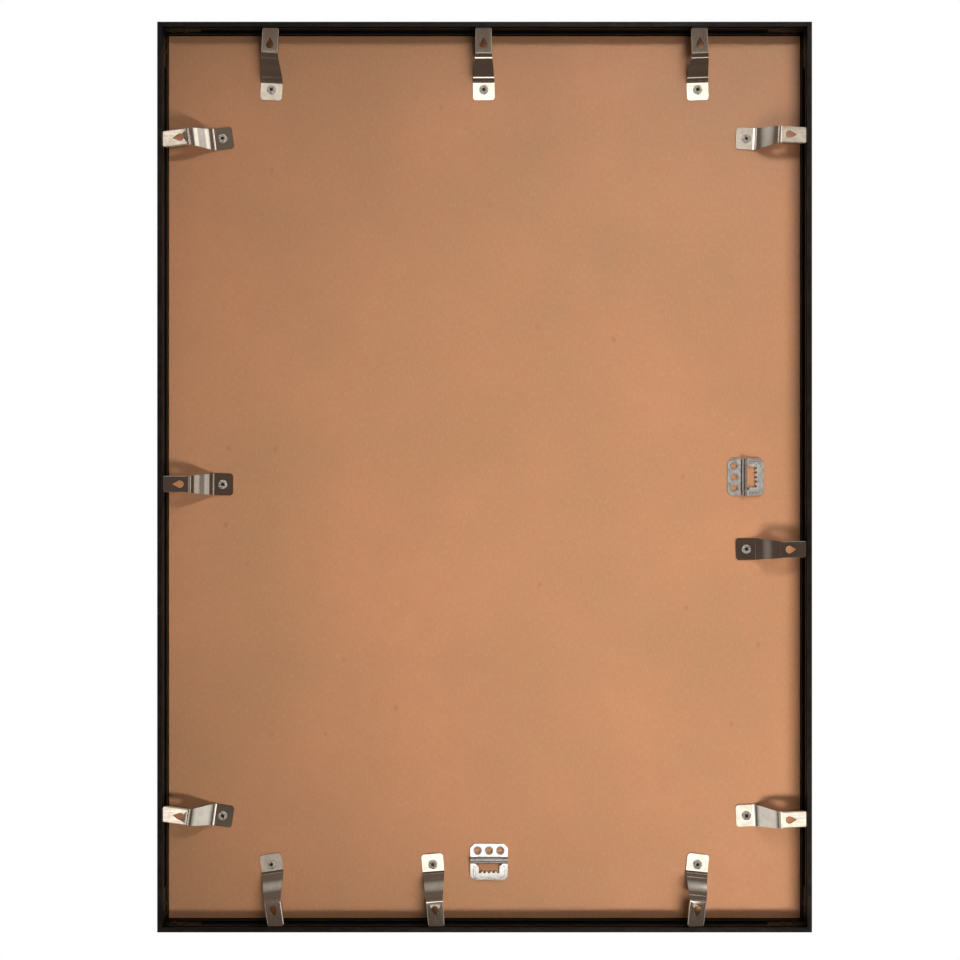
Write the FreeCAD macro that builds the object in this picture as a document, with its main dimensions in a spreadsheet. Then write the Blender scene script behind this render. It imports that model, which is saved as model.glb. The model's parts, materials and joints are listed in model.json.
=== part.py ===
import FreeCAD, Part
import math
import os
import Sketcher

# Picture frame for a 50 by 70 cm picture, seen and opened from the back.
# Four mitred metal rails hold pane, picture and board. Twelve riveted spring clips on the board
# reach under the rails' rear lip. Two hinged sawtooth hangers take the nail, upright or sideways.
# Millimetres and degrees. +Z is up as it hangs upright, +Y is the wall side, Y = 0 is the board's
# rear face, and the origin is the nail notch of the upright hanger, on the frame's centre line.

SIZES = {
    # picture, and how far the frame's outside stands past it on each side
    "picture_width": 500.0,
    "picture_height": 700.0,
    "frame_margin": 6.0,
    # rails
    "wall": 1.3,
    "edge_chamfer": 0.4,
    "front_lip": 9.0,
    "front_lip_thickness": 1.5,
    "rear_lip": 3.8,
    "rear_lip_thickness": 1.2,
    "recess_depth": 14.0,
    # pack of pane, picture and board
    "pane_thickness": 2.0,
    "sheet_thickness": 0.3,
    "board_thickness": 3.0,
    "pack_clearance": 0.4,
    "seat_clearance": 0.2,
    "seat_below_board": 1.0,
    # channel in the rails, with the corner angles and their set screws
    "channel_above_board": 1.0,
    "channel_shelf": 1.0,
    "channel_return": 0.9,
    "channel_return_height": 1.2,
    "angle_thickness": 1.5,
    "angle_clearance": 0.1,
    "angle_reach": 31.5,
    "screw_radius": 2.0,
    "screw_length": 2.4,
    "screw_clearance": 0.05,
    "screw_near": 10.5,
    "screw_far": 19.0,
    "socket_radius": 1.15,
    "socket_depth": 1.4,
    # spring clips
    "clip_width": 17.3,
    "clip_steel": 0.8,
    "clip_tail": 8.3,
    "clip_bend": 7.1,
    "clip_bend_radius": 1.2,
    "clip_nose_start": 23.5,
    "clip_reach": 45.0,
    "nose_width": 13.0,
    "nose_clearance": 0.15,
    "nose_room": 0.45,
    "nose_corner": 4.0,
    "nose_fold_radius": 0.7,
    "tail_corner": 2.6,
    "flange_depth": 2.6,
    "flange_start": 1.2,
    "flange_end": 4.2,
    "drop_radius": 2.95,
    "drop_back": 15.05,
    "drop_point": 9.1,
    # clip rivets
    "nose_wall_gap": 1.0,
    "corner_clip_inset": 86.2,
    "top_middle_shift": -41.2,
    "bottom_middle_shift": -0.6,
    "left_middle_shift": 5.8,
    "right_middle_shift": 57.4,
    "rivet_radius": 2.0,
    "rivet_bore": 1.3,
    "rivet_head_radius": 3.7,
    "rivet_head_height": 1.3,
    "rivet_head_round": 0.8,
    "rivet_flange_radius": 4.2,
    "rivet_flange_thickness": 0.6,
    "rivet_clearance": 0.05,
    # clip angles as they were left, in degrees
    "top_left_turn": 8.4,
    "top_middle_turn": 4.6,
    "top_right_turn": -6.0,
    "bottom_left_turn": -2.9,
    "bottom_middle_turn": 0.3,
    "bottom_right_turn": 2.1,
    "left_upper_turn": -8.0,
    "left_middle_turn": -0.5,
    "left_lower_turn": 7.0,
    "right_upper_turn": 2.7,
    "right_middle_turn": 1.2,
    "right_lower_turn": -2.7,
    # hangers
    "hanger_width": 30.0,
    "hanger_steel": 0.8,
    "hanger_corner": 3.3,
    "plate_reach": 13.1,
    "portrait_hinge_inset": 50.6,
    "portrait_hanger_shift": 3.6,
    "landscape_hinge_inset": 49.2,
    "landscape_hanger_shift": 0.0,
    "eye_row": 7.7,
    "eye_pitch": 9.0,
    "eye_radius": 2.55,
    "eye_wall": 0.5,
    "eye_depth": 1.6,
    "eye_rim": 0.9,
    "eye_rim_height": 0.4,
    "curl_width": 21.2,
    "curl_gap": 0.5,
    "hinge_clearance": 0.05,
    "side_clearance": 0.25,
    "loop_bar_radius": 1.3,
    "loop_steel": 1.2,
    "loop_lift": 0.25,
    "loop_knuckle_radius": 1.9,
    "loop_reach": 15.8,
    "window_start": 2.45,
    "window_slope": 2.2,
    "window_length": 7.45,
    "window_width": 16.4,
    "tooth_pitch": 3.6,
    "tooth_height": 1.4,
    "tooth_base": 2.2,
    "tooth_tip": 0.8,
    "bead_width": 1.3,
    "bead_height": 0.3,
    "bead_inset": 2.4,
    # how far a cutting shape runs past what it cuts
    "overrun": 2.0,
}
TEETH_EACH_SIDE = 2
# lengths closer than this count as the same when edges are picked
SAME = 1e-6
EYES = (-1, 0, 1)

# name, side that its nose points to, place along that side as -1, 0 or 1
CLIPS = (
    ("top_left", "top", -1),
    ("top_middle", "top", 0),
    ("top_right", "top", 1),
    ("bottom_left", "bottom", -1),
    ("bottom_middle", "bottom", 0),
    ("bottom_right", "bottom", 1),
    ("left_upper", "left", 1),
    ("left_middle", "left", 0),
    ("left_lower", "left", -1),
    ("right_upper", "right", 1),
    ("right_middle", "right", 0),
    ("right_lower", "right", -1),
)
# a piece drawn for the top side or the top right corner, turned about +Y to another one
SIDE_TURN = {"top": 0, "right": 90, "bottom": 180, "left": 270}
CORNER_TURN = {"top_right": 0, "bottom_right": 90, "bottom_left": 180, "top_left": 270}

document = FreeCAD.newDocument("picture_frame")
sheet = document.addObject("Spreadsheet::Sheet", "sizes")
for number, (alias, amount) in enumerate(SIZES.items(), start=1):
    sheet.set(f"A{number}", alias.replace("_", " "))
    sheet.set(f"B{number}", str(amount))
    sheet.setAlias(f"B{number}", alias)
document.recompute()


def cell(expression):
    """The expression with every size's name pointed at its cell of the sheet."""
    words = []
    word = ""
    for letter in expression + " ":
        if letter.isalnum() or letter == "_":
            word += letter
            continue
        words.append(f"sizes.{word}" if word in SIZES else word)
        words.append(letter)
        word = ""
    return "".join(words).strip()


# places that several pieces share, as sums of the named sizes
OUTER_WIDTH = "(picture_width + 2 * frame_margin)"
OUTER_HEIGHT = "(picture_height + 2 * frame_margin)"
TOP = "(portrait_hinge_inset - window_start - window_length)"
MIDDLE = f"({TOP} - {OUTER_HEIGHT} / 2)"
BOTTOM = f"({TOP} - {OUTER_HEIGHT})"
BOARD_FRONT = "(-board_thickness)"
SHEET_FRONT = "(-board_thickness - sheet_thickness)"
PANE_FRONT = "(-board_thickness - sheet_thickness - pane_thickness)"
FRAME_FRONT = f"({PANE_FRONT} - front_lip_thickness)"
LIP_UNDERSIDE = "(recess_depth - rear_lip_thickness)"
NOSE_UNDERSIDE = f"({LIP_UNDERSIDE} - nose_clearance - clip_steel)"
PACK_WIDTH = f"({OUTER_WIDTH} - 2 * rear_lip - 2 * pack_clearance)"
PACK_HEIGHT = f"({OUTER_HEIGHT} - 2 * rear_lip - 2 * pack_clearance)"
CHANNEL_LOW = "(channel_above_board + channel_shelf)"
CHANNEL_HIGH = f"({NOSE_UNDERSIDE} - nose_room - channel_shelf)"
CHANNEL_FLOOR = "(wall + angle_clearance + angle_thickness)"
CHANNEL_LIP = f"({CHANNEL_FLOOR} + channel_return)"
CURL_BORE = "(loop_bar_radius + hinge_clearance)"
CURL_RADIUS = f"({CURL_BORE} + hanger_steel)"
NOTCH_LINE = "(window_start + window_length)"
RIVET_INSET = "(wall + nose_wall_gap + clip_reach)"


def bind(piece, **expressions):
    """Ties properties of a piece to sums of the named sizes."""
    for name, expression in expressions.items():
        piece.setExpression(name.replace("__", "."), cell(str(expression)))


def place(piece, x, y, z, turn="0"):
    """Puts a piece at x, y, z, turned about +Y through its own origin."""
    base = f"create(<<vector>>; {cell(x)}; {cell(y)}; {cell(z)})"
    rotation = f"create(<<rotation>>; create(<<vector>>; 0; 1; 0); {cell(turn)})"
    piece.setExpression("Placement", f"create(<<placement>>; {base}; {rotation})")


def new_body(label):
    body = document.addObject("PartDesign::Body", label)
    body.Label = label
    return body


def new_sketch(body, plane, name, offset="0"):
    """A sketch on one of the body's own planes, moved along that plane's normal."""
    sketch = body.newObject("Sketcher::SketchObject", name)
    support = next(item for item in body.Origin.OriginFeatures if item.Role == f"{plane}_Plane")
    sketch.AttachmentSupport = (support, [""])
    sketch.MapMode = "FlatFace"
    bind(sketch, AttachmentOffset__Base__z=offset)
    return sketch


def pin_point(sketch, line, end, across, upward):
    """Ties one end of a line, or a circle's centre, to its place from the sketch's origin."""
    for direction, expression in (("DistanceX", across), ("DistanceY", upward)):
        amount = evaluate(expression)
        number = sketch.addConstraint(Sketcher.Constraint(direction, -1, 1, line, end, amount))
        sketch.setExpression(f"Constraints[{number}]", cell(expression))


def evaluate(expression):
    """The present value of a sum of named sizes, so that a sketch starts at its real shape."""
    return float(sheet.evalExpression(cell(expression).replace("sizes.", "")))


def draw_outline(sketch, corners):
    """A closed run of straight lines through corners given as pairs of sums."""
    points = [FreeCAD.Vector(evaluate(a), evaluate(b), 0) for a, b in corners]
    first = sketch.GeometryCount
    count = len(points)
    lines = [Part.LineSegment(points[i], points[(i + 1) % count]) for i in range(count)]
    sketch.addGeometry(lines, False)
    joints = []
    for i in range(count):
        joints.append(Sketcher.Constraint("Coincident", first + i, 2, first + (i + 1) % count, 1))
    sketch.addConstraint(joints)
    for i, (across, upward) in enumerate(corners):
        pin_point(sketch, first + i, 1, across, upward)


def draw_circle(sketch, across, upward, radius):
    centre = FreeCAD.Vector(evaluate(across), evaluate(upward), 0)
    circle = Part.Circle(centre, FreeCAD.Vector(0, 0, 1), evaluate(radius))
    number = sketch.addGeometry(circle, False)
    pin_point(sketch, number, 3, across, upward)
    fixed = sketch.addConstraint(Sketcher.Constraint("Radius", number, evaluate(radius)))
    sketch.setExpression(f"Constraints[{fixed}]", cell(radius))


def draw_outside_round(sketch, way, side, crown, radius):
    """What lies outside a rounded upper corner, on the right, or on the left for way "-"."""
    corners = [
        (f"{way}({side} - {radius})", crown),
        (f"{way}({side} - {radius})", f"{crown} + overrun"),
        (f"{way}({side} + overrun)", f"{crown} + overrun"),
        (f"{way}({side} + overrun)", f"{crown} - {radius}"),
        (f"{way}({side})", f"{crown} - {radius}"),
    ]
    points = [FreeCAD.Vector(evaluate(a), evaluate(b), 0) for a, b in corners]
    first = sketch.GeometryCount
    lines = [Part.LineSegment(points[i], points[i + 1]) for i in range(len(points) - 1)]
    sketch.addGeometry(lines, False)
    last = first + len(lines) - 1
    for i in range(first, last):
        sketch.addConstraint(Sketcher.Constraint("Coincident", i, 2, i + 1, 1))
    for i, (across, upward) in enumerate(corners[:-1]):
        pin_point(sketch, first + i, 1, across, upward)
    pin_point(sketch, last, 2, *corners[-1])
    centre = FreeCAD.Vector(points[0].x, points[-1].y, 0)
    circle = Part.Circle(centre, FreeCAD.Vector(0, 0, 1), evaluate(radius))
    begin, end = (0.5, 1.0) if way else (0.0, 0.5)
    arc = sketch.addGeometry(Part.ArcOfCircle(circle, begin * math.pi, end * math.pi), False)
    crown_end, side_end = (1, 2) if way else (2, 1)
    sketch.addConstraint(Sketcher.Constraint("Coincident", arc, crown_end, first, 1))
    sketch.addConstraint(Sketcher.Constraint("Coincident", arc, side_end, last, 2))
    sketch.addConstraint(Sketcher.Constraint("Vertical", arc, crown_end, arc, 3))


def rectangle(low_across, high_across, low_upward, high_upward):
    return [
        (low_across, low_upward),
        (high_across, low_upward),
        (high_across, high_upward),
        (low_across, high_upward),
    ]


def pad(body, sketch, name, length, both_ways=False, other_way=False):
    feature = body.newObject("PartDesign::Pad", name)
    feature.Profile = sketch
    feature.Midplane = both_ways
    feature.Reversed = other_way
    bind(feature, Length=length)
    return feature


def pocket(body, sketch, name, depth=None, both_ways=False, other_way=False):
    """Cuts a sketch away, to a depth or, with none given, through the whole piece."""
    feature = body.newObject("PartDesign::Pocket", name)
    feature.Profile = sketch
    feature.Midplane = both_ways
    feature.Reversed = other_way
    if depth is None:
        feature.Type = "ThroughAll"
    else:
        bind(feature, Length=depth)
    return feature


def round_edges(body, name, radius, wanted):
    """Rounds every straight or circular edge of the body that the test picks by its ends."""
    document.recompute()
    base = body.Tip
    names = [f"Edge{i + 1}" for i, edge in enumerate(base.Shape.Edges) if wanted(edge)]
    feature = body.newObject("PartDesign::Fillet", name)
    feature.Base = (base, names)
    bind(feature, Radius=radius)
    return feature


def copy_of(master, label, x="0", y="0", z="0", turn="0"):
    """One more of the same piece, at its own place."""
    twin = document.addObject("Part::Compound", label)
    twin.Label = label
    twin.Links = [master]
    place(twin, x, y, z, turn)
    return twin


def group_of(label, members):
    group = document.addObject("Part::Compound", label)
    group.Label = label
    group.Links = members
    return group


def make_rail(name, length):
    """A top rail: outer face at Z = 0, inward is -Z, both ends mitred."""
    body = new_body(name)
    outline = [
        (FRAME_FRONT, "-edge_chamfer"),
        (f"{FRAME_FRONT} + edge_chamfer", "0"),
        ("recess_depth - edge_chamfer", "0"),
        ("recess_depth", "-edge_chamfer"),
        ("recess_depth", "-rear_lip"),
        (LIP_UNDERSIDE, "-rear_lip"),
        (LIP_UNDERSIDE, "-wall"),
        (f"{CHANNEL_HIGH} + channel_shelf", "-wall"),
        (f"{CHANNEL_HIGH} + channel_shelf", f"-{CHANNEL_LIP}"),
        (f"{CHANNEL_HIGH} - channel_return_height", f"-{CHANNEL_LIP}"),
        (f"{CHANNEL_HIGH} - channel_return_height", f"-{CHANNEL_FLOOR}"),
        (CHANNEL_HIGH, f"-{CHANNEL_FLOOR}"),
        (CHANNEL_HIGH, "-wall"),
        (CHANNEL_LOW, "-wall"),
        (CHANNEL_LOW, f"-{CHANNEL_FLOOR}"),
        (f"{CHANNEL_LOW} + channel_return_height", f"-{CHANNEL_FLOOR}"),
        (f"{CHANNEL_LOW} + channel_return_height", f"-{CHANNEL_LIP}"),
        ("channel_above_board", f"-{CHANNEL_LIP}"),
        ("channel_above_board", "-wall"),
        ("-seat_below_board", "-wall"),
        ("-seat_below_board", "-rear_lip - pack_clearance + seat_clearance"),
        (PANE_FRONT, "-rear_lip - pack_clearance + seat_clearance"),
        (PANE_FRONT, "-front_lip"),
        (f"{FRAME_FRONT} + edge_chamfer", "-front_lip"),
        (FRAME_FRONT, "-front_lip + edge_chamfer"),
    ]
    profile = new_sketch(body, "YZ", f"{name}_profile")
    draw_outline(profile, outline)
    pad(body, profile, f"{name}_length", length, both_ways=True)
    mitres = new_sketch(body, "XZ", f"{name}_mitres")
    for way in ("", "-"):
        end = f"{length} / 2"
        corners = [
            (f"{way}({end} + overrun)", "overrun"),
            (f"{way}({end} - front_lip - overrun)", "-front_lip - overrun"),
            (f"{way}({end} + overrun)", "-front_lip - overrun"),
        ]
        draw_outline(mitres, corners)
    # a 45 degree cut leaves the outer corner where the rail's full length ends
    through = f"2 * (recess_depth - {FRAME_FRONT} + overrun)"
    pocket(body, mitres, f"{name}_mitre_cut", depth=through, both_ways=True)
    return body


def make_corner_angle():
    """The angle for the top right corner, with the frame's outer corner at the origin."""
    body = new_body("corner_angle_pattern")
    low = f"({CHANNEL_LOW} + angle_clearance)"
    height = f"({CHANNEL_HIGH} - {CHANNEL_LOW} - 2 * angle_clearance)"
    outer = "(wall + angle_clearance)"
    inner = CHANNEL_FLOOR
    outline = [
        (f"-{outer}", f"-{outer}"),
        ("-angle_reach", f"-{outer}"),
        ("-angle_reach", f"-{inner}"),
        (f"-{inner}", f"-{inner}"),
        (f"-{inner}", "-angle_reach"),
        (f"-{outer}", "-angle_reach"),
    ]
    profile = new_sketch(body, "XZ", "corner_angle_profile", offset=f"-{low}")
    draw_outline(profile, outline)
    pad(body, profile, "corner_angle_width", height, other_way=True)
    middle = f"({low} + {height} / 2)"
    hole = "screw_radius + screw_clearance"
    upper_holes = new_sketch(body, "XY", "corner_angle_upper_holes", offset="-angle_reach")
    for distance in ("screw_near", "screw_far"):
        draw_circle(upper_holes, f"-{distance}", middle, hole)
    pocket(body, upper_holes, "corner_angle_upper_drill", depth="angle_reach", other_way=True)
    side_holes = new_sketch(body, "YZ", "corner_angle_side_holes", offset="-angle_reach")
    for distance in ("screw_near", "screw_far"):
        draw_circle(side_holes, middle, f"-{distance}", hole)
    pocket(body, side_holes, "corner_angle_side_drill", depth="angle_reach", other_way=True)
    return body


def make_corner_screws():
    """The four set screws of the top right corner, each tight against its rail's wall."""
    shank = document.addObject("Part::Cylinder", "set_screw_shank")
    bind(shank, Radius="screw_radius", Height="screw_length")
    socket = document.addObject("Part::Prism", "set_screw_socket")
    socket.Polygon = 6
    bind(socket, Circumradius="socket_radius", Height="socket_depth + overrun")
    place(socket, "0", "0", "-overrun")
    screw = document.addObject("Part::Cut", "set_screw_pattern")
    screw.Base = shank
    screw.Tool = socket
    middle = f"(({CHANNEL_LOW} + {CHANNEL_HIGH}) / 2)"
    seat = "-wall - screw_length"
    screws = []
    for distance in ("screw_near", "screw_far"):
        screws.append(copy_of(screw, f"upper_{distance}", f"-{distance}", middle, seat))
        screws.append(copy_of(screw, f"side_{distance}", seat, middle, f"-{distance}", "90"))
    return group_of("corner_screw_pattern", screws)


def make_clip():
    """A spring clip: rivet axis through the origin along Y, nose towards +Z."""
    body = new_body("clip_pattern")
    height = NOSE_UNDERSIDE
    run = "(clip_nose_start - clip_bend)"
    # how much shorter the outer side of each bend is
    offset = f"(clip_steel * (sqrt({run} * {run} + {height} * {height}) - {run}) / {height})"
    strip = [
        ("0", "-clip_tail"),
        ("0", "clip_bend"),
        (height, "clip_nose_start"),
        (height, "clip_reach"),
        (f"{height} + clip_steel", "clip_reach"),
        (f"{height} + clip_steel", f"clip_nose_start - {offset}"),
        ("clip_steel", f"clip_bend - {offset}"),
        ("clip_steel", "-clip_tail"),
    ]
    profile = new_sketch(body, "YZ", "clip_profile")
    draw_outline(profile, strip)
    pad(body, profile, "clip_strip", "clip_width", both_ways=True)

    def bend_line(edge):
        ends = [vertex.Point for vertex in edge.Vertexes]
        across = abs(ends[0].x - ends[-1].x) > evaluate("clip_width / 2")
        return across and 0 < edge.CenterOfMass.z < evaluate("clip_nose_start + clip_steel")

    round_edges(body, "clip_bends", "clip_bend_radius", bend_line)
    flange = new_sketch(body, "YZ", "clip_flange_profile")
    foot = f"{height} - flange_depth"
    flange_corners = [
        (f"{height} + clip_steel", "clip_nose_start + flange_start"),
        (foot, "clip_nose_start + flange_start + flange_depth / 2"),
        (foot, "clip_reach - flange_end - flange_depth / 2"),
        (f"{height} + clip_steel", "clip_reach - flange_end"),
    ]
    draw_outline(flange, flange_corners)
    pad(body, flange, "clip_flange_block", "nose_width", both_ways=True)
    hollow = new_sketch(body, "YZ", "clip_hollow_profile")
    low = f"{foot} - overrun"
    draw_outline(hollow, rectangle(low, height, "clip_nose_start + flange_start", "clip_reach"))
    pocket(body, hollow, "clip_hollow", depth="nose_width - 2 * clip_steel", both_ways=True)
    taper = new_sketch(body, "XZ", "clip_taper")
    for way in ("", "-"):
        corners = [
            (f"{way}(clip_width / 2)", "clip_bend"),
            (f"{way}(nose_width / 2)", "clip_nose_start"),
            (f"{way}(nose_width / 2)", "clip_reach + overrun"),
            (f"{way}(clip_width / 2 + overrun)", "clip_reach + overrun"),
            (f"{way}(clip_width / 2 + overrun)", "clip_bend"),
        ]
        draw_outline(taper, corners)
    pocket(body, taper, "clip_taper_cut", depth=f"4 * {height}", both_ways=True)

    def along_depth(edge, z):
        ends = [vertex.Point for vertex in edge.Vertexes]
        if len(ends) < 2:
            return False
        upright = abs(ends[0].x - ends[1].x) < SAME and abs(ends[0].z - ends[1].z) < SAME
        return upright and abs(ends[0].z - z) < SAME

    tip = evaluate("clip_reach")
    round_edges(body, "clip_tip_corners", "nose_corner", lambda edge: along_depth(edge, tip))
    tail = -evaluate("clip_tail")
    round_edges(body, "clip_tail_corners", "tail_corner", lambda edge: along_depth(edge, tail))
    folds = new_sketch(body, "XY", "clip_folds", offset="clip_nose_start + flange_start")
    for way in ("", "-"):
        draw_outside_round(folds, way, "nose_width / 2", f"{height} + clip_steel", "nose_fold_radius")
    pocket(body, folds, "clip_fold_cut", depth="clip_reach", other_way=True)
    drop = new_sketch(body, "XZ", "clip_drop_round")
    centre = "(clip_reach - drop_back)"
    draw_circle(drop, "0", centre, "drop_radius")
    pocket(body, drop, "clip_drop_round_cut", depth=f"4 * {height}", both_ways=True)
    # the drop's two straight sides touch its round end
    span = "(drop_back - drop_point)"
    rise = f"(drop_radius * drop_radius / {span})"
    half = f"(drop_radius * sqrt(1 - drop_radius * drop_radius / {span} / {span}))"
    point = new_sketch(body, "XZ", "clip_drop_point")
    corners = [
        (f"-{half}", f"{centre} + {rise}"),
        (half, f"{centre} + {rise}"),
        ("0", "clip_reach - drop_point"),
    ]
    draw_outline(point, corners)
    pocket(body, point, "clip_drop_point_cut", depth=f"4 * {height}", both_ways=True)
    hole = new_sketch(body, "XZ", "clip_rivet_hole")
    draw_circle(hole, "0", "0", "rivet_radius + rivet_clearance")
    pocket(body, hole, "clip_rivet_hole_cut", depth=f"4 * {height}", both_ways=True)
    return body


def make_rivet():
    """A tubular rivet about Y: flat flange in the board's front, rolled head on the clip."""
    body = new_body("rivet_pattern")
    seat = "(clip_steel + rivet_clearance)"
    outline = [
        ("rivet_bore", BOARD_FRONT),
        ("rivet_flange_radius", BOARD_FRONT),
        ("rivet_flange_radius", f"{BOARD_FRONT} + rivet_flange_thickness"),
        ("rivet_radius", f"{BOARD_FRONT} + rivet_flange_thickness"),
        ("rivet_radius", seat),
        ("rivet_head_radius", seat),
        ("rivet_head_radius", f"{seat} + rivet_head_height"),
        ("rivet_bore", f"{seat} + rivet_head_height"),
    ]
    profile = new_sketch(body, "XY", "rivet_profile")
    draw_outline(profile, outline)
    turned = body.newObject("PartDesign::Revolution", "rivet_turned")
    turned.Profile = profile
    turned.ReferenceAxis = (profile, ["V_Axis"])
    top = evaluate(f"{seat} + rivet_head_height")
    rim = evaluate("rivet_head_radius")

    def head_rim(edge):
        curve = edge.Curve
        if not hasattr(curve, "Radius"):
            return False
        return abs(curve.Radius - rim) < SAME and abs(curve.Center.y - top) < SAME

    round_edges(body, "rivet_head_rounding", "rivet_head_round", head_rim)
    return body


def make_hanger_plate():
    """A hanger's plate: hinge axis along X over the origin, plate towards -Z, curl about the axis."""
    body = new_body("hanger_plate_pattern")
    half = "(hanger_width / 2)"
    tab = "(curl_width / 2)"
    shoulder = f"(-{CURL_RADIUS} - side_clearance)"
    outline = [
        (f"-{half}", shoulder),
        (f"-{half}", "-plate_reach + hanger_corner"),
        (f"-{half} + hanger_corner", "-plate_reach"),
        (f"{half} - hanger_corner", "-plate_reach"),
        (half, "-plate_reach + hanger_corner"),
        (half, shoulder),
        (tab, shoulder),
        (tab, "0"),
        (f"-{tab}", "0"),
        (f"-{tab}", shoulder),
    ]
    flat = new_sketch(body, "XZ", "hanger_plate_outline")
    draw_outline(flat, outline)
    pad(body, flat, "hanger_plate_sheet", "hanger_steel", other_way=True)
    ring = new_sketch(body, "YZ", "hanger_curl_ring")
    draw_circle(ring, CURL_RADIUS, "0", CURL_RADIUS)
    pad(body, ring, "hanger_curl", "curl_width", both_ways=True)
    bore = new_sketch(body, "YZ", "hanger_curl_bore")
    draw_circle(bore, CURL_RADIUS, "0", CURL_BORE)
    pocket(body, bore, "hanger_curl_bore_cut", depth="curl_width + overrun", both_ways=True)
    # the curl's free end stays a little open above the plate
    seam = new_sketch(body, "YZ", "hanger_curl_seam")
    left = f"-{CURL_RADIUS} - overrun"
    right = f"-{CURL_BORE} / 2"
    draw_outline(seam, rectangle("hanger_steel", "hanger_steel + curl_gap", left, right))
    pocket(body, seam, "hanger_curl_seam_cut", depth="curl_width + overrun", both_ways=True)
    collars = new_sketch(body, "XZ", "hanger_eye_collars", offset="eye_depth")
    rims = new_sketch(body, "XZ", "hanger_eye_rims")
    eyes = new_sketch(body, "XZ", "hanger_eye_holes", offset="eye_depth")
    for step in EYES:
        across = f"({step} * eye_pitch)"
        draw_circle(collars, across, "-eye_row", "eye_radius + eye_wall")
        draw_circle(rims, across, "-eye_row", "eye_radius + eye_rim")
        draw_circle(eyes, across, "-eye_row", "eye_radius")
    pad(body, collars, "hanger_eye_collar_pad", "eye_depth + hanger_steel", other_way=True)
    rim_height = "hanger_steel + eye_rim_height"
    pad(body, rims, "hanger_eye_rim_pad", rim_height, other_way=True)
    through = f"eye_depth + {rim_height} + overrun"
    pocket(body, eyes, "hanger_eye_cut", depth=through)
    return body


def make_hanger_loop():
    """A hanger's loop: bar in the curl along X, sheet towards +Z with a toothed window."""
    body = new_body("hanger_loop_pattern")
    half = "(hanger_width / 2)"
    inner = "(curl_width / 2 + side_clearance)"
    outline = [
        (f"-{half}", "0"),
        (half, "0"),
        (half, "loop_reach - hanger_corner"),
        (f"{half} - hanger_corner", "loop_reach"),
        (f"-{half} + hanger_corner", "loop_reach"),
        (f"-{half}", "loop_reach - hanger_corner"),
    ]
    flat = new_sketch(body, "XZ", "hanger_loop_outline", offset="-loop_lift")
    draw_outline(flat, outline)
    pad(body, flat, "hanger_loop_sheet", "loop_steel", other_way=True)
    # a bead stands up along the sides and across the far corners
    bead = new_sketch(body, "XZ", "hanger_loop_bead_outline", offset="-loop_lift - loop_steel")
    for edge in (1, -1):
        near = f"{edge} * ({half} - bead_inset)"
        far = f"{edge} * ({half} - bead_inset - bead_width)"
        turn = "loop_reach - hanger_corner - bead_inset / 2"
        tip = f"{edge} * ({half} - bead_inset - hanger_corner)"
        corners = [
            (near, "window_start + window_slope"),
            (near, turn),
            (tip, f"{turn} + hanger_corner"),
            (f"{tip} - {edge} * bead_width", f"{turn} + hanger_corner - bead_width / 4"),
            (far, f"{turn} - bead_width / 4"),
            (far, "window_start + window_slope"),
        ]
        draw_outline(bead, corners)
    pad(body, bead, "hanger_loop_bead", "bead_height", other_way=True)
    knuckles = new_sketch(body, "YZ", "hanger_loop_knuckle_round")
    draw_circle(knuckles, CURL_RADIUS, "0", "loop_knuckle_radius")
    pad(body, knuckles, "hanger_loop_knuckles", "hanger_width", both_ways=True)
    window = new_sketch(body, "XZ", "hanger_loop_window")
    corners = [
        (f"-{inner}", f"-{CURL_RADIUS} - overrun"),
        (f"-{inner}", "window_start"),
        ("-window_width / 2", "window_start + window_slope"),
        ("-window_width / 2", NOTCH_LINE),
    ]
    for tooth in range(-TEETH_EACH_SIDE, TEETH_EACH_SIDE):
        middle = f"({tooth} * tooth_pitch + tooth_pitch / 2)"
        corners.append((f"{middle} - tooth_base / 2", NOTCH_LINE))
        corners.append((f"{middle} - tooth_tip / 2", f"{NOTCH_LINE} - tooth_height"))
        corners.append((f"{middle} + tooth_tip / 2", f"{NOTCH_LINE} - tooth_height"))
        corners.append((f"{middle} + tooth_base / 2", NOTCH_LINE))
    corners.append(("window_width / 2", NOTCH_LINE))
    corners.append(("window_width / 2", "window_start + window_slope"))
    corners.append((inner, "window_start"))
    corners.append((inner, f"-{CURL_RADIUS} - overrun"))
    draw_outline(window, corners)
    pocket(body, window, "hanger_loop_window_cut", depth=f"4 * {CURL_RADIUS}", both_ways=True)
    bar = new_sketch(body, "YZ", "hanger_loop_bar_round")
    draw_circle(bar, CURL_RADIUS, "0", "loop_bar_radius")
    pad(body, bar, "hanger_loop_bar", "hanger_width", both_ways=True)
    return body


def clip_place(name, side, step):
    """Where a clip's rivet sits on the board, as sums for X and Z."""
    if step:
        reach = OUTER_WIDTH if side in ("top", "bottom") else OUTER_HEIGHT
        along = f"({step} * ({reach} / 2 - corner_clip_inset))"
    else:
        along = f"({side}_middle_shift)"
    return {
        "top": (along, f"{TOP} - {RIVET_INSET}"),
        "bottom": (along, f"{BOTTOM} + {RIVET_INSET}"),
        "left": (f"-{OUTER_WIDTH} / 2 + {RIVET_INSET}", f"{MIDDLE} + {along}"),
        "right": (f"{OUTER_WIDTH} / 2 - {RIVET_INSET}", f"{MIDDLE} + {along}"),
    }[side]


def hanger_frames():
    """Each hanger's name, its hinge's place on the board as sums, and its turn about +Y."""
    upright = ("portrait_hanger_shift", f"{TOP} - portrait_hinge_inset", "0")
    sideways = (
        f"{OUTER_WIDTH} / 2 - landscape_hinge_inset",
        f"{MIDDLE} + landscape_hanger_shift",
        "90",
    )
    return {"portrait_hanger": upright, "landscape_hanger": sideways}


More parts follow.
